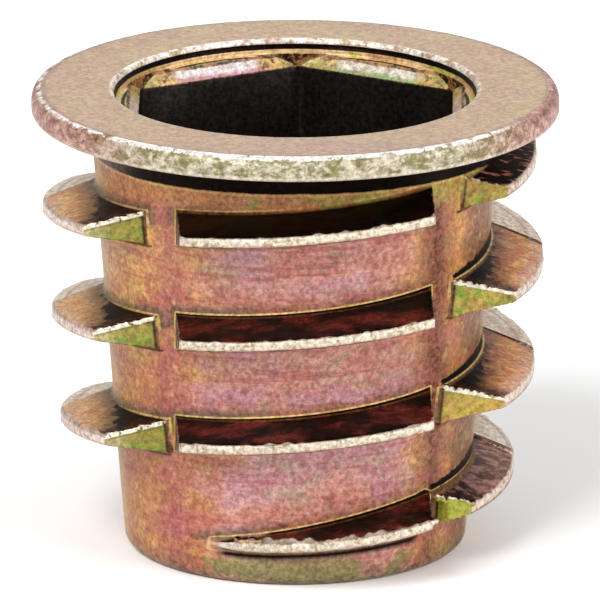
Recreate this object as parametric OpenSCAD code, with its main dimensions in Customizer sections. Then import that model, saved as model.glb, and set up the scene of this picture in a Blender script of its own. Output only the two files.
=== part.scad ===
// Flanged threaded insert for wood: one zinc die casting that stands on its small end.
// The origin is in the middle of that end, and the axis is +Z.

/* [Overall] */
// Length from the small end to the flange face
total_length = 15; // [12:0.5:25]

/* [Flange] */
// Diameter of the flange
flange_d = 16.85; // [15.5:0.1:20]
// Thickness of the flange
flange_thickness = 0.8; // [0.7:0.05:1.5]
// Radius on the upper edge of the flange
flange_top_round = 0.36; // [0.2:0.01:0.4]
// Radius on the lower edge of the flange
flange_under_round = 0.16; // [0.1:0.01:0.25]
// Diameter of the round opening in the flange face
opening_d = 11.8; // [11.7:0.05:12.4]
// Depth of the round opening above the hex socket
opening_depth = 0.5; // [0.3:0.05:0.8]
// Radius on the rim of the opening
opening_rim_round = 0.12; // [0.05:0.01:0.2]

/* [Body] */
// Diameter of the body under the flange
body_top_d = 13.1; // [12.9:0.05:14]
// Diameter of the body at its small end
body_tip_d = 10.9; // [10.6:0.1:11.8]
// Radius on the edge of the small end
tip_round = 0.4; // [0.2:0.05:0.6]

/* [Hex socket] */
// Width of the hex socket across its flats
hex_across_flats = 10; // [9:0.1:10]
// Depth of the hex socket below the round opening
hex_depth = 4.5; // [3:0.25:5]
// Chamfer along the top edge of each flat
hex_chamfer = 0.4; // [0.1:0.05:0.5]
// Turn of the hex socket, clockwise from above, from the place where a corner faces the front
hex_skew = 4; // [0:1:8]

/* [Machine thread] */
// Bore at the crests of the machine thread
thread_minor_d = 7.95; // [6.5:0.05:8.2]
// Diameter at the roots of the machine thread, where its countersinks end
thread_major_d = 9.5; // [8.4:0.05:9.6]

/* [Wood thread] */
// Rise of the wood thread in one turn
wood_pitch = 3.48; // [3.2:0.01:4]
// Height of a full fin above the body
fin_height = 1.74; // [1:0.02:1.8]
// Thickness of a fin where it meets the body
fin_root_w = 1.1; // [0.8:0.05:1.3]
// Thickness of a fin at its crest
fin_crest_w = 0.3; // [0.15:0.05:0.4]
// Half the width of a fin, from its middle to the gap at each end
fin_half_span = 4.05; // [3.4:0.05:4.3]
// How far the front and back fins stand above the helix through the side fins
front_lift = 0.18; // [0:0.02:0.3]
// Height of the fin that holds the start of the thread
start_z = 1.6; // [1.3:0.05:2]
// Radius of the crest of that first fin, which is smaller than the body
start_crest_r = 5; // [4.6:0.05:5.2]
// How far the centre of that crest stands off the axis, so that the fin grows out of the body
start_offset = 2.15; // [1.8:0.05:2.4]
// Direction of that offset, from the middle of the fin
start_direction = 32; // [25:1:40]
// Heights of the next fins, which grow to the full one
run_in_heights = [1.38, 1.64]; // [1:0.01:1.7]
// How far the crests of those fins stand off centre, towards the end that is higher
run_in_offsets = [0.4, 0.12]; // [0:0.01:0.5]
// Height of the last fin, under the flange
run_out_height = 1.25; // [0.8:0.01:1.7]

/* [Hidden] */

$fn = 96;
// How far cutters and fins reach past the faces that they cut or join
past = 0.4;
// How far a fin's section is sunk below the surface of the body
sink = 0.5;
quarter_turn = 90;
fins_per_turn = 360 / quarter_turn;

flange_r = flange_d / 2;
flange_z = total_length - flange_thickness;
body_top_r = body_top_d / 2;
body_tip_r = body_tip_d / 2;
taper = atan((body_top_r - body_tip_r) / flange_z);
hex_top_z = total_length - opening_depth;
hex_floor_z = hex_top_z - hex_depth;
hex_turn = 30;
hex_across_corners = hex_across_flats / cos(hex_turn);
countersink_h = (thread_major_d - thread_minor_d) / 2;

fin_rise = wood_pitch / fins_per_turn;
fin_count = floor((flange_z - fin_root_w / 2 - start_z) / fin_rise) + 1;
flank_slope = (fin_root_w - fin_crest_w) / 2 / fin_height;

// Radius of the body at a height
function body_r(z) = body_tip_r + z * tan(taper);

// Height of a fin: the first ones grow, and the last one drops under the flange
function height_of_fin(i) =
    i <= len(run_in_heights) ? min(run_in_heights[i - 1], fin_height)
    : i == fin_count - 1 ? min(run_out_height, fin_height)
    : fin_height;

// Half section of the tapered body, with a true arc on the edge of its small end
module body_section() {
    arc_r = body_r(tip_round) - tip_round / cos(taper);
    polygon([
        [0, 0],
        [arc_r, 0],
        [arc_r + tip_round * cos(taper), tip_round * (1 - sin(taper))],
        [body_top_r, flange_z],
        [0, flange_z]
    ]);
    translate([arc_r, tip_round]) circle(tip_round);
}

// Half section of the flange, with a true arc on each edge
module flange_section() {
    top_arc = [flange_r - flange_top_round, total_length - flange_top_round];
    under_arc = [flange_r - flange_under_round, flange_z + flange_under_round];
    polygon([
        [0, flange_z],
        [under_arc[0], flange_z],
        [flange_r, under_arc[1]],
        [flange_r, top_arc[1]],
        [top_arc[0], total_length],
        [0, total_length]
    ]);
    translate(top_arc) circle(flange_top_round);
    translate(under_arc) circle(flange_under_round);
}

// The casting's outside without its thread
module blank() {
    rotate_extrude() body_section();
    rotate_extrude() flange_section();
}

// How far a fin's crest stands off centre, so that the fin grows along its length
function crest_offset(i) = i <= len(run_in_offsets) ? run_in_offsets[i - 1] : 0;

// Full ring with the section of a fin, level and centred on the origin
module fin_ring(crest_r, depth) {
    crest_half = fin_crest_w / 2;
    inner_half = crest_half + depth * flank_slope;
    rotate_extrude() polygon([
        [crest_r - depth, -inner_half],
        [crest_r, -crest_half],
        [crest_r, crest_half],
        [crest_r - depth, inner_half]
    ]);
}

// Upright block that bounds a fin between its end faces
module fin_bounds() {
    translate([0, -fin_half_span, -wood_pitch])
        cube([flange_r, 2 * fin_half_span, 2 * wood_pitch]);
}

// Slope of the wood thread at a radius
function lead_at(r) = atan(wood_pitch / (2 * PI * r));

// One quarter of a turn of the wood thread, in the middle of its arc on +X, at the origin
module fin(root_r, height, offset) {
    intersection() {
        rotate([lead_at(root_r + height / 2), 0, 0]) translate([0, offset, 0])
            fin_ring(root_r + height, height + offset + sink);
        fin_bounds();
    }
}

// The first fin: its crest is off centre, so it rises out of the body at a pointed tip
module start_fin() {
    intersection() {
        rotate([lead_at(start_crest_r), 0, 0])
            rotate([0, 0, start_direction]) translate([start_offset, 0, 0])
                fin_ring(start_crest_r, start_offset + sink);
        fin_bounds();
    }
}

// The whole wood thread: each fin stands a quarter turn on from the one below it
module wood_thread() {
    for (i = [0 : fin_count - 1]) {
        helix_z = start_z + i * fin_rise;
        z = i % 2 == 0 ? helix_z + front_lift : helix_z;
        translate([0, 0, z]) rotate([0, 0, (i - 1) * quarter_turn])
            if (i == 0) start_fin();
            else fin(body_r(z), height_of_fin(i), crest_offset(i));
    }
}

// Round opening in the flange face, with a rounded rim
module opening() {
    opening_r = opening_d / 2;
    rim_r = opening_r + opening_rim_round;
    rim_z = total_length - opening_rim_round;
    rotate_extrude() {
        translate([0, hex_top_z]) square([opening_r, opening_depth + past]);
        difference() {
            translate([opening_r - past, rim_z])
                square([past + opening_rim_round, past + opening_rim_round]);
            translate([rim_r, rim_z]) circle(opening_rim_round);
        }
    }
}

// Trapezoid prism that chamfers two flats that face each other
module flat_pair_chamfer() {
    flat = hex_across_flats / 2;
    rotate([90, 0, 0]) translate([0, 0, -opening_d / 2]) linear_extrude(opening_d) polygon([
        [-flat, -hex_chamfer],
        [flat, -hex_chamfer],
        [flat + hex_chamfer, 0],
        [flat + hex_chamfer, past],
        [-flat - hex_chamfer, past],
        [-flat - hex_chamfer, 0]
    ]);
}

// Hex socket with a corner near the front and one near the back, chamfered along its flats
module hex_socket() {
    translate([0, 0, hex_floor_z]) rotate([0, 0, hex_turn - hex_skew])
        cylinder(d = hex_across_corners, h = hex_depth + past, $fn = 6);
    intersection() {
        translate([0, 0, hex_top_z]) rotate([0, 0, -hex_skew]) intersection() {
            flat_pair_chamfer();
            rotate([0, 0, 2 * hex_turn]) flat_pair_chamfer();
            rotate([0, 0, -2 * hex_turn]) flat_pair_chamfer();
        }
        translate([0, 0, hex_floor_z]) cylinder(d = opening_d, h = hex_depth + 2 * past);
    }
}

// Bore of the machine thread, countersunk at both ends
module thread_bore() {
    translate([0, 0, -past]) cylinder(d = thread_minor_d, h = hex_floor_z + 2 * past);
    translate([0, 0, -past])
        cylinder(d1 = thread_major_d + 2 * past, d2 = thread_minor_d, h = countersink_h + past);
    translate([0, 0, hex_floor_z - countersink_h])
        cylinder(d1 = thread_minor_d, d2 = thread_major_d, h = countersink_h);
}

module insert() {
    color("#c8966e") difference() {
        union() {
            blank();
            wood_thread();
        }
        opening();
        hex_socket();
        thread_bore();
    }
}

insert();
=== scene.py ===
import math
import random
import bpy
from mathutils import Matrix, Vector


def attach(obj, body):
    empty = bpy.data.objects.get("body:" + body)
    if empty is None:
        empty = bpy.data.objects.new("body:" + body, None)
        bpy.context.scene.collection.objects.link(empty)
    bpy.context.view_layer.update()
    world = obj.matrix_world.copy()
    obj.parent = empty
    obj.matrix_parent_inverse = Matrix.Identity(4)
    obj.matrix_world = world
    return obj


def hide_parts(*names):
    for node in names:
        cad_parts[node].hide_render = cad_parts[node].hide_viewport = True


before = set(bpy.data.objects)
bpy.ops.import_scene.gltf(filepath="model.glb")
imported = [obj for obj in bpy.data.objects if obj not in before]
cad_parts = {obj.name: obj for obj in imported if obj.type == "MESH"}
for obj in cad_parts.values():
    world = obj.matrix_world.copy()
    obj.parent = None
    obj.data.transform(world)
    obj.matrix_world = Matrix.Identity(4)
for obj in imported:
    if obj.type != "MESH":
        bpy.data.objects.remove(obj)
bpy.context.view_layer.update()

# ---------------------------------------------------------------- sizes, in millimetres

MM = 0.001
FULL_TURN = 2 * math.pi
MOST_TRIANGLES = 190000

# the flange and the tapered body
LENGTH = 14.995
FLANGE_R = 8.42
FLANGE_Z = 14.2
FLANGE_TOP_ROUND = 0.36
FLANGE_UNDER_ROUND = 0.16
BODY_TOP_R = 6.55
BODY_TIP_R = 5.45
TIP_ROUND = 0.4
TAPER = (BODY_TOP_R - BODY_TIP_R) / FLANGE_Z

# the round opening and the hex socket below it
OPENING_R = 5.78
LIP = 0.14
HEX_TOP = 14.5
HEX_FLOOR = 10.0
HEX_FLAT = 5.0
CHAMFER = 0.4
HEX_SKEW = math.radians(4)

# the machine thread, whose groove runs out through a countersink at each end
BORE_R = 3.975
THREAD_R = 4.75
SCREW_PITCH = 1.5875
SCREW_TURNS = 7.4
GROOVE_MOUTH_HALF = 0.79
GROOVE_ROOT_HALF = 0.12
COUNTERSINK = 0.8

# the wood thread: quarter fins along one helix, those in front and at the back a little above it
FINS = 14
PITCH = 3.48
RISE = PITCH / 4
START_Z = 1.6
FRONT_LIFT = 0.18
HALF_SPAN = 4.05
FIN_H = 1.74
FIN_ROOT_HALF = 0.55
FIN_CREST_HALF = 0.15
HEIGHTS = {1: 1.38, 2: 1.64, 13: 1.25}
OFFSETS = {1: 0.4, 2: 0.12}

# a side fin: how far back its crease lies at the root, half the step there, how much thicker the fin is
# there on each side, and the degrees from there to where that ends
CREASE = 1.2
CREASE_STEP = 0.04
SWELL = 0.09
SWELL_REACH = 38

# the first fin, a leaf whose crest is off centre, and which climbs as the thread does at its slope radius
LEAF_R = 5.0
LEAF_OFFSET = 2.15
LEAF_TURN = math.radians(32)
LEAF_X = round(LEAF_OFFSET * math.sin(LEAF_TURN), 2)
LEAF_Y = -round(LEAF_OFFSET * math.cos(LEAF_TURN), 2)
LEAF_SLOPE_R = 5.4
LEAF_PITCH = PITCH * LEAF_R / LEAF_SLOPE_R

# degrees that a fin is swept to each side of its middle, before its end faces are cut
FIN_REACH = 44
LEAF_REACH = 100


def body_r(z):
    """Radius of the body at a height."""
    return BODY_TIP_R + z * TAPER


# ---------------------------------------------------------------- camera

# pixels across the frame, where in it the middle of the flange face lies, and pixels to a metre there
FRAME = 600
TOP_SEEN_AT = (295.3, 87.05)
SCALE = 31380.0

SENSOR = 36
TURN = math.radians(3.2)
RAISE = math.radians(15.6)
DISTANCE = 0.6
FOCAL = SCALE * DISTANCE
TOP = Vector((0, 0, LENGTH * MM))

ahead = Vector((math.sin(TURN) * math.cos(RAISE), math.cos(TURN) * math.cos(RAISE), -math.sin(RAISE)))
side = Vector((math.cos(TURN), -math.sin(TURN), 0))
upward = side.cross(ahead)
aim = ahead + side * ((FRAME / 2 - TOP_SEEN_AT[0]) / FOCAL) - upward * ((FRAME / 2 - TOP_SEEN_AT[1]) / FOCAL)
bpy.ops.object.camera_add(location=TOP - ahead * DISTANCE)
camera = bpy.context.object
camera.rotation_euler = aim.to_track_quat("-Z", "Y").to_euler()
camera.data.sensor_width = SENSOR
camera.data.lens = FOCAL * SENSOR / FRAME
camera.data.clip_start = 0.01
camera.data.clip_end = 20
bpy.context.scene.camera = camera


# ---------------------------------------------------------------- modelling helpers

def clear():
    """Leaves edit mode and selects nothing."""
    if bpy.context.object and bpy.context.object.mode != "OBJECT":
        bpy.ops.object.mode_set(mode="OBJECT")
    bpy.ops.object.select_all(action="DESELECT")


def only(piece):
    """Makes a piece the one that is selected and worked on."""
    clear()
    piece.select_set(True)
    bpy.context.view_layer.objects.active = piece


def draw(name, points, close=True):
    """An outline in the XZ plane, drawn point by point from (x, z) pairs in millimetres."""
    clear()
    x, z = points[0]
    # a plane merged to its middle gives the first point
    bpy.ops.mesh.primitive_plane_add(size=1, location=(0, 0, 0))
    piece = bpy.context.object
    piece.name = name
    bpy.ops.object.mode_set(mode="EDIT")
    bpy.ops.mesh.select_all(action="SELECT")
    bpy.ops.mesh.merge(type="CENTER")
    bpy.ops.transform.translate(value=(x, 0, z))
    for (x0, z0), (x1, z1) in zip(points, points[1:]):
        bpy.ops.mesh.extrude_vertices_move(TRANSFORM_OT_translate={"value": (x1 - x0, 0, z1 - z0)})
    if close:
        bpy.ops.mesh.select_all(action="DESELECT")
        bpy.ops.object.mode_set(mode="OBJECT")
        for end in (piece.data.vertices[0], piece.data.vertices[-1]):
            end.select = True
        bpy.ops.object.mode_set(mode="EDIT")
        bpy.ops.mesh.edge_face_add()
    bpy.ops.object.mode_set(mode="OBJECT")
    return piece


def arc(cx, cz, r, a0, a1, n):
    """Points of an arc, from angle a0 to a1 in degrees."""
    steps = [math.radians(a0 + (a1 - a0) * i / n) for i in range(n + 1)]
    return [(cx + r * math.cos(a), cz + r * math.sin(a)) for a in steps]


def lathe(name, points, steps):
    """A closed outline spun round the Z axis."""
    piece = draw(name, points, close=False)
    bpy.ops.object.mode_set(mode="EDIT")
    bpy.ops.mesh.select_all(action="SELECT")
    bpy.ops.mesh.spin(steps=steps, angle=FULL_TURN, center=(0, 0, 0), axis=(0, 0, 1))
    bpy.ops.mesh.select_all(action="SELECT")
    bpy.ops.mesh.remove_doubles(threshold=0.0005)
    bpy.ops.mesh.normals_make_consistent(inside=False)
    bpy.ops.object.mode_set(mode="OBJECT")
    return piece


def apply(piece, kind, **settings):
    """Adds a modifier and applies it."""
    only(piece)
    step = piece.modifiers.new(kind.title(), kind)
    for key, value in settings.items():
        setattr(step, key, value)
    bpy.ops.object.modifier_apply(modifier=step.name)


def cut(piece, point, normal):
    """Cuts off what lies on the side that the normal points to, and closes the cut."""
    only(piece)
    bpy.ops.object.mode_set(mode="EDIT")
    bpy.ops.mesh.select_all(action="SELECT")
    bpy.ops.mesh.bisect(plane_co=point, plane_no=normal, use_fill=True, clear_outer=True, threshold=0.0001)
    bpy.ops.object.mode_set(mode="OBJECT")


def sweep(name, outline, azimuth, reach, z, pitch, steps, centre=(0, 0)):
    """Sweeps an outline along a helix, reach degrees to each side of an azimuth, and closes its ends."""
    piece = draw(name, outline)
    apply(piece, "SCREW", angle=math.radians(2 * reach), screw_offset=pitch * 2 * reach / 360,
          steps=steps, render_steps=steps, use_merge_vertices=False, axis="Z")
    bpy.ops.object.mode_set(mode="EDIT")
    bpy.ops.mesh.select_all(action="SELECT")
    bpy.ops.mesh.fill_holes(sides=0)
    bpy.ops.mesh.select_all(action="SELECT")
    bpy.ops.mesh.normals_make_consistent(inside=False)
    bpy.ops.object.mode_set(mode="OBJECT")
    start = Matrix.Rotation(math.radians(-reach), 4, "Z") @ Matrix.Translation((0, 0, -pitch * reach / 360))
    turn = Matrix.Rotation(math.radians(azimuth), 4, "Z")
    piece.matrix_world = Matrix.Translation((0, 0, z)) @ turn @ Matrix.Translation((*centre, 0)) @ start
    only(piece)
    bpy.ops.object.transform_apply(location=True, rotation=True, scale=True)
    return piece


def join(name, pieces):
    """Makes one piece of several."""
    clear()
    for piece in pieces:
        piece.select_set(True)
    bpy.context.view_layer.objects.active = pieces[0]
    bpy.ops.object.join()
    pieces[0].name = name
    return pieces[0]


def take(piece, cutter):
    """Cuts one piece out of another."""
    apply(piece, "BOOLEAN", object=cutter, operation="DIFFERENCE", solver="EXACT")
    bpy.data.objects.remove(cutter, do_unlink=True)


# ---------------------------------------------------------------- the casting

def blank():
    """The body and the flange, solid, with the round opening in the top."""
    outline = [(0, 0)]
    outline += arc(BODY_TIP_R - TIP_ROUND + 0.02, TIP_ROUND, TIP_ROUND, -90, 2, 6)
    outline += [(body_r(z), z) for z in (2, 4, 6, 8, 10, 12, 13.9)]
    # a small fillet, then the two rounded edges of the flange
    outline += [(BODY_TOP_R + 0.05, FLANGE_Z - 0.05), (BODY_TOP_R + 0.2, FLANGE_Z)]
    under = FLANGE_UNDER_ROUND
    outline += arc(FLANGE_R - under, FLANGE_Z + under, under, -90, 0, 4)
    edge = FLANGE_TOP_ROUND
    outline += arc(FLANGE_R - edge, LENGTH - edge, edge, 0, 90, 6)
    # the lip of the opening, and its wall, which steps in a little on the way down
    outline += arc(OPENING_R + LIP, LENGTH - LIP, LIP, 90, 180, 5)
    outline += [(OPENING_R, LENGTH - 0.27), (OPENING_R - 0.07, LENGTH - 0.32)]
    outline += [(OPENING_R - 0.08, HEX_TOP + 0.1), (OPENING_R - 0.04, HEX_TOP)]
    outline += [(0, HEX_TOP)]
    return lathe("blank", outline, 128)


def hex_cutter():
    """Six-sided plug that opens out into its chamfer at the top, inside the wall of the opening."""
    clear()
    corner = HEX_FLAT / math.cos(math.radians(30))
    chamfer_z = HEX_TOP - CHAMFER
    bpy.ops.mesh.primitive_cylinder_add(vertices=6, radius=corner, depth=chamfer_z - HEX_FLOOR,
                                        location=(0, 0, (chamfer_z + HEX_FLOOR) / 2))
    plug = bpy.context.object
    bpy.ops.object.transform_apply(location=True)
    bpy.ops.object.mode_set(mode="EDIT")
    bpy.ops.mesh.select_mode(type="FACE")
    bpy.ops.mesh.select_all(action="DESELECT")
    bpy.ops.object.mode_set(mode="OBJECT")
    for face in plug.data.polygons:
        face.select = face.normal.z > 0.9
    bpy.ops.object.mode_set(mode="EDIT")
    wider = (HEX_FLAT + CHAMFER) / HEX_FLAT
    bpy.ops.mesh.extrude_region_move(TRANSFORM_OT_translate={"value": (0, 0, CHAMFER + 0.02)})
    bpy.ops.transform.resize(value=(wider, wider, 1))
    bpy.ops.mesh.extrude_region_move(TRANSFORM_OT_translate={"value": (0, 0, 1)})
    bpy.ops.mesh.select_all(action="SELECT")
    bpy.ops.mesh.normals_make_consistent(inside=False)
    bpy.ops.mesh.select_mode(type="VERT")
    bpy.ops.object.mode_set(mode="OBJECT")
    bpy.ops.transform.rotate(value=HEX_SKEW, orient_axis="Z", center_override=(0, 0, 0))
    bpy.ops.object.transform_apply(rotation=True)
    clear()
    bpy.ops.mesh.primitive_cylinder_add(vertices=96, radius=OPENING_R - 0.03, depth=8,
                                        location=(0, 0, HEX_TOP - 2))
    tube = bpy.context.object
    apply(plug, "BOOLEAN", object=tube, operation="INTERSECT", solver="EXACT")
    bpy.data.objects.remove(tube, do_unlink=True)
    return plug


def bore_cutter():
    """Core of the machine thread with a countersink at each end."""
    wide = BORE_R + COUNTERSINK
    outline = [(0, -1), (wide + 1, -1), (wide, 0), (BORE_R, COUNTERSINK)]
    outline += [(BORE_R, HEX_FLOOR - COUNTERSINK), (wide, HEX_FLOOR)]
    outline += [(wide, HEX_FLOOR + 0.3), (0, HEX_FLOOR + 0.3)]
    return lathe("bore", outline, 96)


def thread_cutter():
    """The groove of the machine thread."""
    inner_r = BORE_R - 0.2
    outline = [(inner_r, -GROOVE_MOUTH_HALF), (THREAD_R, -GROOVE_ROOT_HALF)]
    outline += [(THREAD_R, GROOVE_ROOT_HALF), (inner_r, GROOVE_MOUTH_HALF)]
    steps = int(72 * SCREW_TURNS)
    return sweep("groove", outline, 0, 180 * SCREW_TURNS, HEX_FLOOR / 2, SCREW_PITCH, steps)


def fin_outline(crest_r, height, crest_half=0.16):
    """Section of a fin: flared at its root, with a rounded crest."""
    slope = (FIN_ROOT_HALF - FIN_CREST_HALF) / FIN_H

    def half(h):
        return crest_half + (height - h) * slope

    upper_side = [
        (-0.6, half(-0.6) + 0.25),
        (-0.06, half(-0.06) + 0.16),
        (0.02, half(0.02) + 0.07),
        (0.12, half(0.12) + 0.02),
        (0.24, half(0.24)),
        (height - 0.12, half(height - 0.12)),
        (height - 0.04, half(height) - 0.02),
        (height, half(height) - 0.08),
    ]
    root_r = crest_r - height
    up = [(root_r + h, w) for h, w in upper_side]
    down = [(x, -w) for x, w in reversed(up)]
    return up + down


def fin_facts(i):
    """Azimuth in degrees, height of the middle, root radius, height and offset of a fin."""
    z = START_Z + i * RISE
    return (i - 1) * 90, z, body_r(z), HEIGHTS.get(i, FIN_H), OFFSETS.get(i, 0)


def directions(angle):
    """Outward and along the surface, at an angle round the axis."""
    return Vector((math.cos(angle), math.sin(angle), 0)), Vector((-math.sin(angle), math.cos(angle), 0))


def side_fin(i):
    """The parts of a side fin: a half on each side of its crease, where it is thickest."""
    azimuth, z, root, h, offset = fin_facts(i)
    outward = math.cos(math.radians(azimuth))
    backward = 1 if azimuth % 360 == 0 else -1
    across = Vector((outward * CREASE, FIN_H, 0)).normalized()
    parts = []
    for half in (-1, 1):
        for lean in (-SWELL, SWELL):
            pitch = PITCH - half * lean * 360 / SWELL_REACH
            part = sweep("fin", fin_outline(root + h, h + offset), azimuth, FIN_REACH,
                         z + half * CREASE_STEP + lean, pitch, 88, (0, offset))
            cut(part, ((root + h) * outward, 0, 0), -half * backward * across)
            parts.append(part)
    return parts


def fins():
    """Every fin of the wood thread, swept on its own and cut between its end faces."""
    made = []
    for i in range(FINS):
        azimuth, z, root, h, offset = fin_facts(i)
        if i == 0:
            centre = (LEAF_OFFSET * math.cos(LEAF_TURN), LEAF_OFFSET * math.sin(LEAF_TURN))
            parts = [sweep("fin", fin_outline(LEAF_R, LEAF_OFFSET, FIN_CREST_HALF), azimuth, LEAF_REACH,
                           z + FRONT_LIFT, LEAF_PITCH, 120, centre)]
        elif i % 2 == 0:
            parts = [sweep("fin", fin_outline(root + h, h + offset), azimuth, FIN_REACH,
                           z + FRONT_LIFT, PITCH, 88, (0, offset))]
        else:
            parts = side_fin(i)
        outward, tangent = directions(math.radians(azimuth))
        # the two end faces, and then what reaches past the axis
        for part in parts:
            cut(part, tangent * HALF_SPAN, tangent)
            cut(part, -tangent * HALF_SPAN, -tangent)
            cut(part, outward * 3.0, -outward)
        made += parts
    return made


# ---------------------------------------------------------------- the worn edges

def bead(where, size, direction):
    """A small lump of plating, drawn out along an edge."""
    piece = bpy.data.objects.new("bead", BEAD.data.copy())
    bpy.context.collection.objects.link(piece)
    turn = Vector(direction).to_track_quat("X", "Z").to_matrix().to_4x4()
    piece.data.transform(Matrix.Translation(where) @ turn @ Matrix.Diagonal((size[0], size[1], size[2], 1)))
    return piece


def crest_point(i, a):
    """Point on the crest line of a fin, at an angle from the fin's middle, with its azimuth and radius."""
    azimuth, z, root, h, offset = fin_facts(i)
    if i == 0:
        b = a - LEAF_TURN
        r = LEAF_OFFSET * math.cos(b) + math.sqrt(LEAF_R ** 2 - (LEAF_OFFSET * math.sin(b)) ** 2)
    else:
        r = root + h + offset * math.sin(a)
    lift = FRONT_LIFT if i % 2 == 0 else 0.05 * (1 if a > 0 else -1)
    t = math.radians(azimuth) + a
    return Vector((r * math.cos(t), r * math.sin(t), z + lift + PITCH * a / FULL_TURN)), t, r


def crest_lumps(i, crest_r):
    """Lumps along the crest of a fin. On the leaf they shrink to its tip, where they lie on the body."""
    made = []
    reach = math.asin(min(0.99, (HALF_SPAN - 0.1) / crest_r))
    a = -reach if i else -0.6
    while a < reach:
        point, t, r = crest_point(i, a)
        s = dice.uniform(0.65, 1.3)
        if i == 0 and a < -0.4:
            s = 0.84 + a
            point = Vector((math.cos(t), math.sin(t), 0)) * (body_r(point.z) + 0.1) + Vector((0, 0, point.z))
        along = (-math.sin(t), math.cos(t), 0.08)
        inward = Vector((-math.cos(t), -math.sin(t), 0))
        where = point + inward * dice.uniform(0.08, 0.15) + Vector((0, 0, dice.uniform(0.02, 0.13)))
        made.append(bead(where, (0.17 * s, 0.11 * s, 0.11 * s), along))
        a += dice.uniform(0.12, 0.3) / r
    return made


def end_lumps(i, crest_r, end):
    """Lumps along the upper edge of one end face of a fin, from its root to its crest."""
    made = []
    azimuth, z, root, _, _ = fin_facts(i)
    outward, tangent = directions(math.radians(azimuth))
    right_front = (i - 1) % 4 == 0 and end < 0
    edge = math.sqrt(max(0.1, (root + 0.1) ** 2 - HALF_SPAN ** 2))
    tip = math.sqrt((crest_r - 0.1) ** 2 - HALF_SPAN ** 2)
    x = edge
    while x < tip:
        r = math.hypot(x, HALF_SPAN)
        a = end * math.atan2(HALF_SPAN, x)
        lift = FRONT_LIFT if i % 2 == 0 else 0.05 * end
        up = 0.15 + (crest_r - r) * (FIN_ROOT_HALF - FIN_CREST_HALF) / FIN_H
        s = dice.uniform(0.65, 1.2)
        burr = 0.1 * (tip - x) / (tip - edge) if right_front else 0
        where = (outward * x + tangent * end * (HALF_SPAN - 0.07 * s)
                 + Vector((0, 0, z + lift + PITCH * a / FULL_TURN + up - 0.03 + burr)))
        made.append(bead(where, (0.12 * s, 0.08 * s, 0.08 * s + burr), outward))
        x += dice.uniform(0.12, 0.26)
    return made


def worn_fins():
    """Lumps on every fin. The leaf has no end face at its tip."""
    made = []
    for i in range(FINS):
        crest_r = crest_point(i, 0)[2]
        made += crest_lumps(i, crest_r)
        ends = (-1, 1) if i else (1,)
        for end in ends:
            made += end_lumps(i, crest_r, end)
    return made


def worn_ring(radius, inward, top, down, size, smallest, gaps):
    """Lumps round the axis. A bigger one lies further in from the radius and further down from the top."""
    made = []
    a = 0
    while a < FULL_TURN:
        s = dice.uniform(smallest, 1.2)
        r = radius - inward * s
        where = Vector((r * math.cos(a), r * math.sin(a), top - down * s))
        made.append(bead(where, [length * s for length in size], (-math.sin(a), math.cos(a), 0)))
        a += dice.uniform(*gaps)
    return made


dice = random.Random(7)
clear()
bpy.ops.mesh.primitive_ico_sphere_add(subdivisions=2, radius=1)
BEAD = bpy.context.object
core = blank()
take(core, hex_cutter())
take(core, bore_cutter())
take(core, thread_cutter())
pieces = [core] + fins() + worn_fins()
pieces += worn_ring(FLANGE_R - 0.2, 0.13, LENGTH - 0.085, 0.1, (0.16, 0.13, 0.1), 0.6, (0.018, 0.05))
pieces += worn_ring(OPENING_R + 0.1, 0, LENGTH - 0.03, 0.07, (0.16, 0.08, 0.06), 0.5, (0.025, 0.06))
insert = join("threaded_insert", pieces)
bpy.data.objects.remove(BEAD, do_unlink=True)

# one closed skin over all of it, then fewer triangles and metres for millimetres
apply(insert, "REMESH", mode="VOXEL", voxel_size=0.05, adaptivity=0.02)
triangles = sum(len(face.vertices) - 2 for face in insert.data.polygons)
apply(insert, "DECIMATE", decimate_type="COLLAPSE", ratio=min(1, MOST_TRIANGLES / triangles))
only(insert)
bpy.ops.transform.resize(value=(MM, MM, MM), center_override=(0, 0, 0))
bpy.ops.object.transform_apply(location=True, rotation=True, scale=True)
bpy.ops.object.shade_smooth_by_angle(angle=math.radians(50))


# ---------------------------------------------------------------- the finish

def tint(*screen):
    """A colour from its red, green and blue screen values."""
    red_green_blue = [c / 255 / 12.92 if c <= 10 else ((c / 255 + 0.055) / 1.055) ** 2.4 for c in screen]
    return (*red_green_blue, 1)


class Wire:
    """A socket that carries a number, with the usual signs."""

    def __init__(self, bench, socket):
        self.bench = bench
        self.socket = socket

    def __add__(self, other):
        return self.bench.maths("ADD", self, other)

    def __radd__(self, other):
        return self.bench.maths("ADD", other, self)

    def __sub__(self, other):
        return self.bench.maths("SUBTRACT", self, other)

    def __rsub__(self, other):
        return self.bench.maths("SUBTRACT", other, self)

    def __mul__(self, other):
        return self.bench.maths("MULTIPLY", self, other)

    def __rmul__(self, other):
        return self.bench.maths("MULTIPLY", other, self)

    def __truediv__(self, other):
        return self.bench.maths("DIVIDE", self, other)

    def __abs__(self):
        return self.bench.maths("ABSOLUTE", self)

    def __neg__(self):
        return 0 - self

    def least(self, other):
        return self.bench.maths("MINIMUM", self, other)

    def most(self, other):
        return self.bench.maths("MAXIMUM", self, other)

    def floor(self):
        return self.bench.maths("FLOOR", self)

    def root(self):
        return self.bench.maths("SQRT", self)

    def cosine(self):
        return self.bench.maths("COSINE", self)

    def between(self, low, high):
        """0 at low and 1 at high, with a soft start and end."""
        return self.bench.make("ShaderNodeMapRange", {"interpolation_type": "SMOOTHSTEP"},
                               {"Value": self, "From Min": low, "From Max": high})["Result"]

    def near(self, middle, width):
        """1 at middle, and 0 from width away on."""
        return 1 - abs(self - middle).between(0, width)


class Outputs:
    """The output sockets of a node, by name or number."""

    def __init__(self, bench, node):
        self.bench = bench
        self.node = node

    def __getitem__(self, key):
        return Wire(self.bench, self.node.outputs[key])


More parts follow.
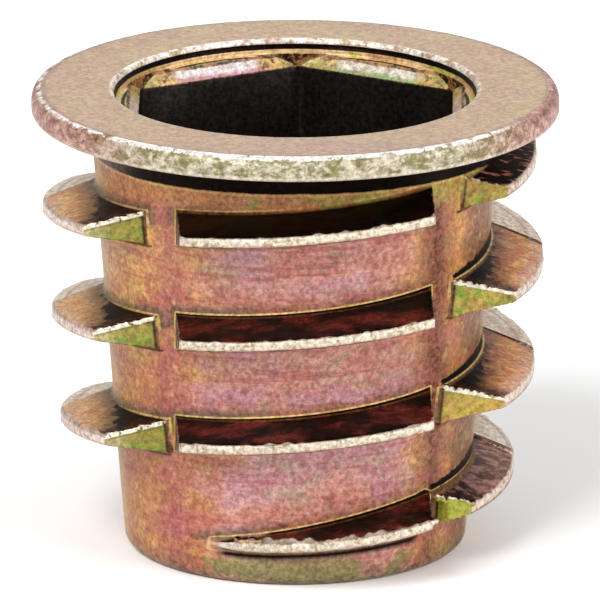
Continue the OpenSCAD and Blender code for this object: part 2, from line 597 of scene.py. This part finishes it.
class Bench:
    """Where the nodes of one material are put together."""

    # the colour sockets of a Mix node, whose names are those of its number and vector sockets too
    MIX_FACTOR = 0
    MIX_A = 6
    MIX_B = 7
    MIX_RESULT = 2

    def __init__(self, name):
        self.material = bpy.data.materials.new(name)
        self.material.use_nodes = True
        self.tree = self.material.node_tree
        self.shader = self.tree.nodes["Principled BSDF"]

    def put(self, socket, value):
        """Links a wire to a socket, or sets the socket's own value."""
        if isinstance(value, Wire):
            self.tree.links.new(value.socket, socket)
        else:
            socket.default_value = value

    def make(self, kind, settings, values):
        """One node: its settings first, then the values or links of its sockets."""
        node = self.tree.nodes.new(kind)
        for key, value in settings.items():
            setattr(node, key, value)
        for key, value in values.items():
            self.put(node.inputs[key], value)
        return Outputs(self, node)

    def maths(self, operation, *values):
        return self.make("ShaderNodeMath", {"operation": operation}, dict(enumerate(values)))["Value"]

    def angle(self, y, x):
        """The angle of a place, in radians."""
        return self.maths("ARCTAN2", y, x)

    def mix(self, factor, a, b, blend="MIX"):
        """Colour a, going over to colour b as the factor rises."""
        return self.make("ShaderNodeMix", {"data_type": "RGBA", "blend_type": blend, "clamp_factor": True},
                         {self.MIX_FACTOR: factor, self.MIX_A: a, self.MIX_B: b})[self.MIX_RESULT]

    def vector(self, x, y, z):
        return self.make("ShaderNodeCombineXYZ", {}, {"X": x, "Y": y, "Z": z})["Vector"]

    def axes(self, vector):
        """The three numbers of a vector."""
        parts = self.make("ShaderNodeSeparateXYZ", {}, {0: vector})
        return parts["X"], parts["Y"], parts["Z"]

    def noise(self, where, scale, detail, rough, twist=0.0):
        return self.make("ShaderNodeTexNoise", {},
                         {"Vector": where, "Scale": scale, "Detail": detail, "Roughness": rough,
                          "Distortion": twist})["Fac"]

    def feed(self, name, value):
        """Gives the shader one of its values."""
        self.put(self.shader.inputs[name], value)


class Spot:
    """A point of the casting: its place in millimetres, which way it faces, and the noises there."""

    def __init__(self, m):
        self.set_place(m)
        self.set_thread(m)
        self.set_fins()
        self.set_noises(m)

    def set_place(self, m):
        """Its place, and which way it faces: up, outward or across."""
        metres = m.make("ShaderNodeTexCoord", {}, {})["Object"]
        scale = {0: metres, "Scale": 1 / MM}
        self.place = m.make("ShaderNodeVectorMath", {"operation": "SCALE"}, scale)["Vector"]
        self.x, self.y, self.z = m.axes(self.place)
        nx, ny, self.nz = m.axes(m.make("ShaderNodeNewGeometry", {}, {})["Normal"])
        self.r = (self.x * self.x + self.y * self.y).root()
        self.out = (nx * self.x + ny * self.y) / self.r
        self.across = (1 - self.out * self.out - self.nz * self.nz).most(0).root()
        # height above the body's skin, and how far round to the right
        self.h = self.r - BODY_TIP_R - self.z * TAPER
        self.sideways = self.x / self.r
        self.face = self.z.between(14.9, 14.95) * self.nz.between(0.9, 0.97)

    def set_thread(self, m):
        """Its height above the middle of the nearest fin, and how far it lies off that fin."""
        x, y, z = self.x, self.y, self.z
        self.front = (abs(y) - abs(x)).between(-0.3, 0.3)
        azimuth = m.angle(y, x)
        turns = (z - START_Z - self.front * FRONT_LIFT) / PITCH - (azimuth + math.pi / 2) / FULL_TURN
        lap = (turns + 0.5).floor()
        along = azimuth + lap * FULL_TURN

        # the leaf follows a circle of its own, and leaf says how far inside its crest the point lies
        self.first = (1 - along.between(-0.9, -0.8)) * self.front
        leaf_turn = m.angle(x - LEAF_X, LEAF_Y - y)
        leaf_dz = z - START_Z - FRONT_LIFT - leaf_turn * (LEAF_PITCH / FULL_TURN)
        self.dz = (turns - lap) * PITCH * (1 - self.first) + leaf_dz * self.first
        self.leaf = LEAF_R - ((x - LEAF_X) * (x - LEAF_X) + (y - LEAF_Y) * (y - LEAF_Y)).root()

        # from the first fin to the last; off_fin is the distance from a fin's section, thinner on the leaf
        self.threaded = along.between(-2.34, -2.3) * (1 - along.between(19.55, 19.75))
        past_end = (abs(x).least(abs(y)) - HALF_SPAN).most(0)
        past_end = past_end.most(self.leaf * self.first * -1)
        half = 0.58 - self.first * (0.39 - self.leaf.most(0) * 0.23)
        past_side = (abs(self.dz) - half).most(0)
        self.off_fin = (past_end * past_end + past_side * past_side).root()

        # the skin just beside the leaf's tip
        narrow = (along + 2.2).between(0, 0.42) * 0.2
        at_tip = self.first * (1 - along.between(-1.85, -1.75))
        self.beside_tip = at_tip * (abs(self.dz) - narrow).between(0, 0.03)

    def set_fins(self):
        """Whether it is on a fin, and on a fin's crest."""
        self.on_fin = self.h.between(0.06, 0.16) * (1 - self.z.between(14.0, 14.1))
        flat_end = 1 - self.across.between(0.5, 0.62)
        rounded = self.on_fin * self.out.between(0.45, 0.7) * self.h.between(0.25, 0.5) * flat_end
        tip = self.first * (1 - self.leaf.between(0.15, 0.4)) * self.on_fin * self.out.between(0.2, 0.5)
        self.on_crest = rounded.most(tip) * (1 - self.beside_tip)

    def set_noises(self, m):
        """Noises, from broad clouds to fine grain."""
        x, y, z = self.x, self.y, self.z
        self.cloud = m.noise(m.vector(x, y, z * 2.0), 0.3, 2.0, 0.55, 0.8)
        self.drift = m.noise(m.vector(x + 31, y, z * 1.5), 0.42, 3.0, 0.6, 0.6)
        self.patch = m.noise(m.vector(x, y + 17, z * 1.8), 0.55, 3.0, 0.6, 0.6)
        self.mottle = m.noise(self.place, 2.6, 4.0, 0.65, 0.3)
        self.blotch = m.noise(m.vector(x + 9, y, z), 2.2, 4.0, 0.72, 0.4)
        self.grain = m.noise(self.place, 6.5, 3.0, 0.7)
        self.speck = m.noise(m.vector(x, y, z + 50), 4.2, 3.0, 0.7)
        self.lump = m.noise(m.vector(x, y, z + 80), 3.0, 2.0, 0.6)
        self.lines = m.noise(m.vector(x * 0.3, y * 0.3, z * 3.6), 1.4, 4.0, 0.6)


# In what follows m is the bench and s the spot. Each function gives the colour of one part of the casting.

# the near black of painted shade, in the opening and on the ledge round the hex
SHADE_BLACK = tint(26, 18, 14)


def skin(m, s):
    """The body between the fins: pink and lilac, gold towards the sides, with a painted sheen along the sides
    and painted shade, shadow and highlights round the fins and under the flange.
    """
    colour = m.mix(s.cloud.between(0.4, 0.5), tint(206, 148, 154), tint(212, 152, 136))
    colour = m.mix(s.cloud.between(0.52, 0.62), colour, tint(206, 136, 118))
    colour = m.mix(s.patch.between(0.54, 0.66) * 0.7, colour, tint(184, 164, 136))
    left = (-s.sideways - 0.26 + s.drift * 0.5 - s.dz.between(0.9, 2.4) * 0.1).between(0.35, 0.68)
    right = (s.sideways + s.drift * 0.5).between(0.7, 0.94)
    colour = left_side(m, s, colour, left)
    colour = right_side(m, s, colour, right)
    colour = flecks(m, s, colour, left.most(right))
    colour = small_end(m, s, colour)
    # paler along the two sides, a painted sheen where the round of the body turns away
    silhouette_sheen = abs(s.sideways).between(0.955, 0.998)
    colour = m.mix(silhouette_sheen * (0.35 + s.lump * 0.6) * 0.75, colour, tint(214, 184, 132))
    colour = round_fins(m, s, colour)
    colour = leaf_shadow(m, s, colour)
    return under_flange(m, s, colour)


def left_side(m, s, colour, left):
    """Orange and gold, with pink just above the side fins."""
    orange = m.mix(s.z.between(3.0, 7.5), tint(186, 112, 60), tint(204, 128, 64))
    colour = m.mix(left * 0.85, colour, orange)
    gold = m.mix(s.z.between(3.0, 7.5), tint(196, 140, 72), tint(220, 178, 98))
    colour = m.mix(left * s.drift.between(0.42, 0.55) * 0.7, colour, gold)
    pink = left * (1 - s.dz.between(0.5, 1.6)) * s.dz.between(0, 0.2) * (-s.y).between(2.2, 3.8)
    return m.mix(pink * (0.4 + s.patch * 0.5), colour, tint(192, 100, 116))


def right_side(m, s, colour, right):
    """Orange, a painted highlight, then brown towards the far right, painted shade where the body turns away.
    """
    orange = m.mix(s.patch.between(0.42, 0.56), tint(226, 152, 78), tint(204, 148, 66))
    colour = m.mix(right * 0.9, colour, orange)
    brown = m.mix(s.blotch.between(0.42, 0.58), tint(112, 80, 18), tint(80, 50, 10))
    return m.mix((s.sideways + s.drift * 0.3).between(0.92, 1.06) * 0.8, colour, brown)


def flecks(m, s, colour, warm):
    """Shade to the right, darker columns beside the front fins, blotches and flow lines."""
    shade = s.sideways.between(0.12, 0.5) * (0.1 + s.z.near(6.9, 1.8) * 0.22)
    colour = m.mix(shade, colour, tint(112, 66, 26))
    right_half = s.x.between(0, 1)
    column = abs(s.x).near(4.2, 0.9) * (-s.y).between(3.0, 4.0)
    plum = m.mix(right_half, tint(164, 88, 92), tint(112, 62, 48))
    colour = m.mix(column * (0.75 + right_half * 0.2), colour, plum)
    dark = m.mix(warm, tint(184, 98, 96), tint(168, 92, 46))
    colour = m.mix(s.blotch.between(0.5, 0.66) * 0.6, colour, dark)
    pale = m.mix(warm, tint(236, 200, 176), tint(240, 190, 112))
    colour = m.mix((1 - s.blotch.between(0.32, 0.48)) * (0.4 - column * right_half * 0.2), colour, pale)
    flow = s.lines.between(0.5, 0.64) * (1 - s.dz.between(0.8, 1.9))
    return m.mix(flow * 0.55, colour, tint(174, 78, 84))


def small_end(m, s, colour):
    """Green spots low on the body, and its worn edge."""
    spots = (s.patch + 0.1 - abs(s.x - 0.5) * 0.06).between(0.45, 0.53)
    colour = m.mix((1 - s.z.between(0.5, 1.4)) * spots * 0.85, colour, tint(140, 144, 72))
    worn = (1 - s.z.between(0.15, 0.85)) * (0.3 + s.speck.between(0.42, 0.56) * 0.55)
    return m.mix(worn, colour, m.mix(s.blotch.between(0.45, 0.55), tint(140, 116, 88), tint(104, 84, 56)))


def round_fins(m, s, colour):
    """Painted shade above the root of each fin, a thin painted gold highlight round it, and painted shade
    close to the side fins.
    """
    # painted shade on the body just above the root of each fin
    above = s.dz.between(0, 0.2)
    root_shade = s.threaded * above * (1 - (s.off_fin / (0.06 + s.mottle * 0.7)).between(0.2, 1.0))
    root_shade_tone = m.mix(s.speck.between(0.45, 0.55), tint(176, 112, 56), tint(120, 56, 40))
    root_shade_tone = m.mix(s.x.between(-2.4, -0.6), tint(96, 88, 60), root_shade_tone)
    colour = m.mix(root_shade * 0.75, colour, root_shade_tone)

    # the shadow above the fins on the right, wider towards the back
    side_fins = 1 - s.front
    right_half = s.x.between(0, 1)
    before_end = (HALF_SPAN - abs(s.y)).between(0, 0.1)
    inner = (s.y + 4.3).between(0.2, 4.2)
    channel = s.threaded * side_fins * above * right_half * before_end * (0.22 + inner * 0.3)
    rough = channel + (s.blotch - 0.5) * 0.35 * before_end
    black = right_half * side_fins * before_end * s.threaded * above
    colour = m.mix(black * (1 - (s.off_fin - rough).between(0, 0.06)), colour, tint(30, 20, 15))
    # painted shade on the body just under the side fins
    close = (1 - s.off_fin.between(0.02, 0.1)) * (-s.dz).between(0.52, 0.58)
    colour = m.mix(s.threaded * side_fins * (1 - above) * close * 0.85, colour, tint(44, 30, 22))

    # a painted gold highlight along the edge of each fin's root, which is broken here and there and ends
    # below the flange
    edge = s.off_fin.between(0.0, 0.008) * (1 - s.off_fin.between(0.04, 0.065))
    broken = 0.35 + (s.speck * 2).between(0.7, 1.0) * 0.65
    root_highlight = s.threaded * edge * s.front.most(above) * (1 - s.z.between(12.7, 12.9)) * broken
    gold = m.mix(s.patch.between(0.45, 0.55), tint(222, 184, 120), tint(206, 176, 84))
    colour = m.mix(root_highlight * 0.9, colour, gold)

    # painted shade at the root of each fin: near black on the front and back fins, brown on the side fins;
    # pale on the leaf near its tip
    root = s.threaded * (1 - s.off_fin.between(0.0, 0.006)) * (1 - s.beside_tip)
    colour = m.mix(root, colour, m.mix(s.front, tint(120, 84, 50), tint(40, 28, 20)))
    return m.mix(root * s.first * (1 - s.leaf.between(0.15, 0.4)), colour, tint(214, 186, 140))


def leaf_shadow(m, s, colour):
    """The painted shadow under the leaf: a dark line which follows its lower side."""
    across = s.x - LEAF_X
    reach = (LEAF_R * LEAF_R - across * across).root()
    depth = s.y - LEAF_Y + reach
    crest_z = m.angle(across, reach) * (LEAF_PITCH / FULL_TURN) + START_Z + FRONT_LIFT
    under = crest_z - 0.19 - depth * 0.306 - s.z
    return m.mix(s.first * depth.between(0.05, 0.35) * under.near(0.06, 0.22), colour, tint(26, 19, 15))


def under_flange(m, s, colour):
    """Under the flange: a gold and green band, a thin painted gold highlight line, then the flange's painted
    black shadow.
    """
    up = s.z - (13.25 - s.sideways * s.sideways * 0.2)
    band = m.mix((s.patch + s.sideways * 0.12).between(0.47, 0.56), tint(206, 136, 72), tint(172, 170, 62))
    band = m.mix(s.blotch.between(0.45, 0.58) * 0.6, band, tint(150, 88, 50))
    band = m.mix(s.speck.between(0.5, 0.6) * 0.6, band, tint(208, 160, 86))
    colour = m.mix(up.between(-1.0, -0.35) * 0.75, colour, band)
    # painted highlight: a thin gold line at the edge of the flange's shadow
    colour = m.mix(up.near(-0.03, 0.06) * 0.85, colour, tint(220, 178, 96))
    # the painted shadow of the flange, near black, browner at the far left
    dark = m.mix((-s.sideways).between(0.8, 0.95), tint(24, 17, 14), tint(96, 70, 50))
    return m.mix((up + s.mottle * 0.1).between(0.05, 0.1), colour, dark)


def front_flank(m, s):
    """Upper side of the front and back fins: painted nearly black as shade, with red-brown painted
    reflections, fewer in the top row under the flange.
    """
    # painted reflection: red-brown patches, fewer near the flange
    red = m.noise(m.vector(s.x * 0.6, s.y, s.z), 1.1, 4.0, 0.62)
    red = red.between(0.44, 0.64) * (1 - s.z.between(9.5, 11.0) * 0.8)
    dark = m.mix(red, tint(24, 18, 15), tint(120, 46, 36))
    return m.mix(s.h.near(0.1, 0.12) * 0.6, dark, tint(150, 110, 62))


def side_flank(m, s):
    """Upper side of the side fins: golden brown in front of the crease, and pale behind it, painted as the
    lit half.
    """
    ray = m.noise(m.vector(m.angle(s.y, abs(s.x)) * 9, s.h * 0.8, s.z * 0.3), 2.2, 3.0, 0.6)
    right = s.sideways.between(0.2, 0.8)
    brown = m.mix(ray.between(0.42, 0.58), tint(214, 132, 46), tint(254, 206, 108))
    brown = m.mix((-s.sideways).between(0, 0.3) * 0.8, brown, tint(240, 194, 136))
    brown = m.mix(s.blotch.between(0.48, 0.6) * 0.6, brown, tint(206, 114, 56))
    brown = m.mix(right * 0.42, brown, tint(196, 104, 48))
    brown = m.mix(s.h.between(1.0, 1.6) * s.mottle.between(0.3, 0.6) * 0.7, brown, tint(232, 192, 172))

    # painted shade: olive, then black, towards the body and the near end
    swing = (-s.y).between(0.2, 4.3)
    shade = s.h - 0.1 - swing * swing.root() * (0.9 - s.sideways * 0.25) + (s.mottle + s.blotch - 1) * 0.7
    olive = m.mix(s.speck.between(0.45, 0.6), tint(96, 84, 44), tint(130, 84, 50))
    chestnut = m.mix(s.speck.between(0.45, 0.6), tint(64, 34, 26), tint(142, 72, 46))
    olive = m.mix(s.sideways.between(-0.2, 0.2), olive, chestnut)
    brown = m.mix((1 - shade.between(0.0, 0.9)) * 0.85, brown, olive)
    brown = m.mix(1 - shade.between(-0.1, 0.08), brown, tint(28, 20, 15))

    # the lowest fin on the right is purple, and all have a painted shadow just behind their end bead
    purple = m.mix(ray.between(0.42, 0.58), tint(84, 56, 48), tint(168, 118, 118))
    brown = m.mix(right * (1 - s.z.between(3.7, 4.2)) * 0.8, brown, purple)
    behind = (-s.y + s.mottle * 0.5 - s.h * 0.12).between(3.45, 3.9)
    umber = m.mix(s.speck.between(0.45, 0.6), tint(54, 32, 20), tint(104, 62, 34))
    brown = m.mix(behind * 0.85, brown, umber)

    # the far half, painted pale as if lit, and the crease between the two: a painted line of shade in front
    # and of highlight behind
    pale = m.mix(s.mottle.between(0.35, 0.65), tint(255, 250, 236), tint(246, 224, 200))
    pale = m.mix(s.lines.between(0.5, 0.6) * 0.45, pale, tint(206, 176, 136))
    pale = m.mix(s.h.near(1.25, 0.12) * 0.7, pale, tint(190, 166, 140))
    crease = s.y - (1 - s.h / FIN_H) * CREASE
    colour = m.mix(crease.between(-0.03, 0.03), brown, pale)
    colour = m.mix(crease.near(-0.04, 0.1) * 0.9, colour, tint(52, 34, 24))
    colour = m.mix(crease.near(0.1, 0.1) * 0.6, colour, tint(255, 250, 238))

    # the top fins, in the shadow of the flange
    line = m.noise(m.vector(s.x * 1.2, s.y * 3.2, s.z), 1.3, 3.0, 0.6) + s.h.between(0.9, 1.8) * 0.14 - 0.06
    shadow = m.mix(line.between(0.5, 0.58), tint(26, 18, 16), tint(190, 116, 104))
    return m.mix(s.z.between(12.2, 12.6), colour, shadow)


def lower_flank(m, s):
    """Lower side of every fin: brown."""
    return m.mix(s.mottle.between(0.4, 0.7), tint(150, 108, 76), tint(100, 68, 48))


def end_face(m, s):
    """End of a fin: yellow-green and gold on the side fins, with a worn white bead along the upper edge."""
    right = s.sideways.between(0, 0.5)
    green = m.mix(s.blotch.between(0.42, 0.54), tint(128, 152, 36), tint(184, 162, 72))
    green = m.mix(s.mottle.between(0.54, 0.66) * 0.8, green, tint(112, 96, 42))
    green = m.mix(s.patch.between(0.48, 0.58) * 0.35, green, tint(204, 128, 80))
    green = m.mix(right * (1 - s.z.between(3.0, 4.0)) * 0.7, green, tint(170, 178, 56))
    orange = m.mix(s.blotch.between(0.45, 0.55), tint(214, 158, 92), tint(186, 168, 60))
    green = m.mix(right * s.z.near(5.2, 1.4) * 0.75, green, orange)
    green = m.mix((-s.sideways).between(0.2, 0.5) * 0.45, green, tint(112, 140, 34))
    green = m.mix((-s.sideways).between(0.4, 0.9) * s.h.between(0.8, 1.6) * 0.5, green, tint(222, 200, 160))
    # painted shade where the end face meets the body
    green = m.mix(1 - s.h.between(0.12, 0.2), green, tint(50, 36, 24))
    edge = s.dz - 0.16 - (FIN_H - s.h) * 0.23 - right * (1 - s.h / FIN_H) * 0.12
    white = (edge + right * 0.05).between(-0.13, -0.08) * s.speck.between(0.38, 0.46)
    green = m.mix(edge.between(-0.2, -0.14) * 0.5, green, tint(70, 56, 30))
    green = m.mix(white, green, tint(250, 244, 222))
    brown = m.mix(s.blotch.between(0.4, 0.65), tint(72, 48, 34), tint(168, 122, 92))
    brown = m.mix(s.mottle.between(0.5, 0.65) * 0.6, brown, tint(54, 36, 28))
    return m.mix(s.front, green, brown)


def crest(m, s):
    """Crest of a fin, where the finish is worn away: white in front, pinker on the side fins."""
    side_fins = m.mix(s.speck.between(0.5, 0.66), tint(228, 210, 198), tint(192, 158, 138))
    front_fins = m.mix(s.speck.between(0.52, 0.66), tint(220, 209, 190), tint(170, 150, 110))
    colour = m.mix(s.front, side_fins, front_fins)
    # painted shade: the lower part of the crest darker, and a dark line along both its edges
    low = -s.dz * 6 + s.mottle
    high = s.dz * 6 + s.mottle
    colour = m.mix(low.between(0.7, 1.3) * 0.5, colour, tint(196, 152, 112))
    outline = (high.between(1.2, 1.5) * (0.35 + s.front * 0.3)).most(low.between(1.2, 1.5) * 0.8)
    return m.mix(outline, colour, tint(96, 70, 46))


def flange(m, s):
    """The flange: a plain matte face, and a rim that is white, olive and pink, with a painted white glint
    along its top.
    """
    face = m.mix(s.mottle.between(0.3, 0.7), tint(203, 174, 145), tint(194, 162, 140))
    face = m.mix(s.drift.between(0.42, 0.62) * 0.6, face, tint(200, 180, 140))
    face = m.mix(s.blotch.between(0.58, 0.74) * 0.4, face, tint(194, 154, 140))
    face = m.mix((-s.y).between(5.6, 7.4) * 0.6, face, tint(188, 156, 142))
    # painted shade: a grey-violet tone near the edge of the face, and a thin dark line where it turns into
    # the rim
    face = m.mix(s.r.between(7.6, 8.0) * s.lump.between(0.5, 0.62) * 0.5, face, tint(168, 150, 146))
    face = m.mix(s.r.near(8.03, 0.06) * 0.55, face, tint(150, 116, 98))

    # the rim: olive in front and at the back, pink at the sides, pale below
    ends = (abs(s.y) / s.r).between(0.45, 0.9)
    tone = m.noise(m.vector(s.x, s.y, s.z * 1.6), 1.9, 4.0, 0.72, 0.4)
    olive = m.mix(tone.between(0.42, 0.56), tint(134, 128, 80), tint(202, 194, 172))
    olive = m.mix(s.speck.between(0.56, 0.68) * 0.7, olive, tint(118, 104, 70))
    pink = m.mix(tone.between(0.4, 0.6), tint(160, 108, 96), tint(208, 166, 150))
    pink = m.mix(s.speck.between(0.54, 0.66) * 0.7, pink, tint(112, 78, 66))
    rim = m.mix(ends, pink, olive)
    rim = m.mix((1 - s.z.between(14.3, 14.4)) * (0.3 + ends * 0.4), rim, tint(230, 218, 198))
    rim = m.mix(1 - s.z.between(14.2, 14.235), rim, tint(150, 116, 66))
    # painted highlight: a broken white glint along the top of the rim, weaker on the right
    glint = s.r.near(8.19, 0.11 + s.lump * 0.12) * s.nz.between(0.1, 0.4) * s.blotch.between(0.36, 0.54)
    glint = glint * (0.4 + ends * 0.6) * (1 - s.sideways.between(0.4, 0.9) * 0.6)
    rim = m.mix(glint.between(0.1, 0.4), rim, tint(255, 253, 248))
    colour = m.mix(s.r.between(8.06, 8.1), face, rim)

    # the worn lip of the opening, pale where worn, with a painted highlight that is brightest at the back
    lip = 1 - s.r.between(OPENING_R + LIP - 0.03, OPENING_R + LIP + 0.04)
    lip = lip * (s.speck * 0.5 + s.lump * 0.5).between(0.4, 0.52)
    return m.mix(lip * (0.45 + 0.55 * s.y.between(-2.0, 3.0)), colour, tint(255, 248, 238))


def socket(m, s):
    """The opening, the hex and the bore: painted dark inside as shade, with a gold ring and pale chamfers,
    painted paler towards their tops as a highlight.
    """
    deep = m.mix(s.mottle.between(0.45, 0.7), tint(54, 49, 47), tint(64, 55, 49))
    brown = m.mix(s.blotch.between(0.42, 0.58), tint(60, 38, 24), tint(176, 122, 70))
    gold = m.mix(s.speck.between(0.4, 0.5), tint(120, 66, 34), tint(214, 176, 96))
    gold = m.mix(s.patch.between(0.45, 0.55) * 0.7, gold, tint(170, 170, 80))
    ring = m.mix(s.patch.between(0.56, 0.64), tint(244, 204, 148), tint(206, 196, 88))
    ring = m.mix(s.drift.between(0.5, 0.6) * 0.6, ring, tint(204, 150, 84))

    # the chamfers: pink on the left, green on the right, painted paler towards the top as a highlight, gold
    # in the corners of the hex
    low = s.z + s.mottle * 0.3
    pink = m.mix(low.between(14.28, 14.4), tint(206, 146, 160), tint(244, 236, 236))
    green = m.mix(low.between(14.3, 14.42), tint(146, 176, 110), tint(232, 224, 208))
    bar = m.mix(s.x.between(-0.4, 0.4), pink, green)
    bar = m.mix(s.lump.between(0.52, 0.62) * 0.4, bar, tint(172, 128, 110))
    bar = m.mix(abs(s.sideways).between(0.75, 0.9), bar, tint(206, 184, 160))
    turn = m.angle(s.y, s.x) + HEX_SKEW
    corner = (-(turn * 6).cosine()).between(-0.15, 0.35)
    bar = m.mix(corner * 0.9, bar, gold)
    bar = m.mix((s.z + s.mottle * 0.15).between(14.46, 14.5) * 0.9, bar, brown)

    # the ledge round the hex, gold with painted black shade between its corners, then the walls, painted
    # black as shade above the gold ring
    ledge = m.mix(s.r.between(5.42, 5.46), gold, m.mix(corner, SHADE_BLACK, gold))
    ledge = m.mix(s.r.between(5.54, 5.58), ledge, ring)
    top = m.mix(s.nz.between(0.85, 0.95), bar, ledge)
    # painted shade: the walls of the hex and the bore dark grey
    hole = m.mix(s.nz.between(0.3, 0.5) * s.z.between(13.9, 14.05), deep, top)
    hole = m.mix((s.z + s.mottle * 0.15).between(14.12, 14.2) * (1 - s.nz.between(0.2, 0.4)), hole, brown)
    wall = m.mix(1 - s.z.between(14.64, 14.68), SHADE_BLACK, ring)
    return m.mix(s.r.between(5.62, 5.66) * s.z.between(14.5, 14.53), hole, wall)


def chromate():
    """Yellow chromate over cast zinc: pink and gold on the body, worn pale on the edges, with painted shade
    on the fins and in the hollows, and painted highlights, sheen and shadows.
    """
    m = Bench("chromate")
    s = Spot(m)
    colour = skin(m, s)
    upper_flank = m.mix(s.front, side_flank(m, s), front_flank(m, s))
    colour = m.mix(s.on_fin * s.nz.between(0.35, 0.6), colour, upper_flank)
    colour = m.mix(s.on_fin * (-s.nz).between(0.35, 0.6), colour, lower_flank(m, s))
    colour = m.mix(s.on_fin * s.across.between(0.45, 0.6), colour, end_face(m, s))
    colour = m.mix(s.on_crest, colour, crest(m, s))
    colour = m.mix(s.z.between(14.1, 14.2), colour, flange(m, s))
    inside = (1 - s.r.between(5.8, 5.84)) * (1 - s.z.between(14.82, 14.85) * s.r.between(5.68, 5.7))
    inside = inside * (1 - s.h.between(-0.35, -0.3)) * s.z.between(0.25, 1.4)
    colour = m.mix(inside, colour, socket(m, s))
    # the grain: darker and lighter flecks of the casting's own tone, a little fainter on the flange face
    shade = m.mix(s.grain.between(0.3, 0.7), tint(184, 176, 170), tint(255, 255, 255))
    colour = m.mix(1.0 - s.face * 0.25, colour, m.mix(1.0, colour, shade, "MULTIPLY"))
    m.feed("Base Color", colour)
    light = m.make("ShaderNodeRGBToBW", {}, {"Color": colour})["Val"]
    m.feed("Metallic", 1 - light.between(0.01, 0.12) * 0.8)
    m.feed("Roughness", 0.55 - s.mottle * 0.2)
    height = (s.grain * 0.5 + s.mottle * 0.6 + s.lines * 0.2) * (1 - s.face * 0.7)
    bump = m.make("ShaderNodeBump", {}, {"Strength": 0.3, "Distance": 0.00006, "Height": height})
    m.feed("Normal", bump["Normal"])
    return m.material


insert.data.materials.clear()
insert.data.materials.append(chromate())
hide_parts("insert")
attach(insert, "root")

# ---------------------------------------------------------------- floor and lights

clear()
bpy.ops.mesh.primitive_plane_add(size=6, location=(0, 0, 0))
floor = bpy.context.object
floor.name = "floor"
floor_white = bpy.data.materials.new("floor")
floor_white.use_nodes = True
floor_shader = floor_white.node_tree.nodes["Principled BSDF"]
floor_shader.inputs["Base Color"].default_value = (1, 1, 1, 1)
floor_shader.inputs["Roughness"].default_value = 1
floor.data.materials.append(floor_white)

scene = bpy.context.scene
scene.view_settings.view_transform = "Standard"
world = bpy.data.worlds.new("room") if scene.world is None else scene.world
scene.world = world
world.use_nodes = True
sky = world.node_tree.nodes["Background"]
sky.inputs["Color"].default_value = (1, 1, 1, 1)
sky.inputs["Strength"].default_value = 0.5

MIDDLE = Vector((0, 0, 0.008))


def lamp(name, where, size, power):
    """A soft square lamp that faces the middle of the insert."""
    clear()
    bpy.ops.object.light_add(type="AREA", location=where)
    panel = bpy.context.object
    panel.name = name
    panel.data.size = size
    panel.data.energy = power
    panel.rotation_euler = (MIDDLE - Vector(where)).to_track_quat("-Z", "Y").to_euler()


lamp("key", (-0.4, -0.56, 0.64), 0.48, 7.7)
lamp("fill", (0.56, -0.4, 0.32), 0.48, 3.8)
lamp("back", (0.15, 0.6, 0.5), 0.5, 0.6)
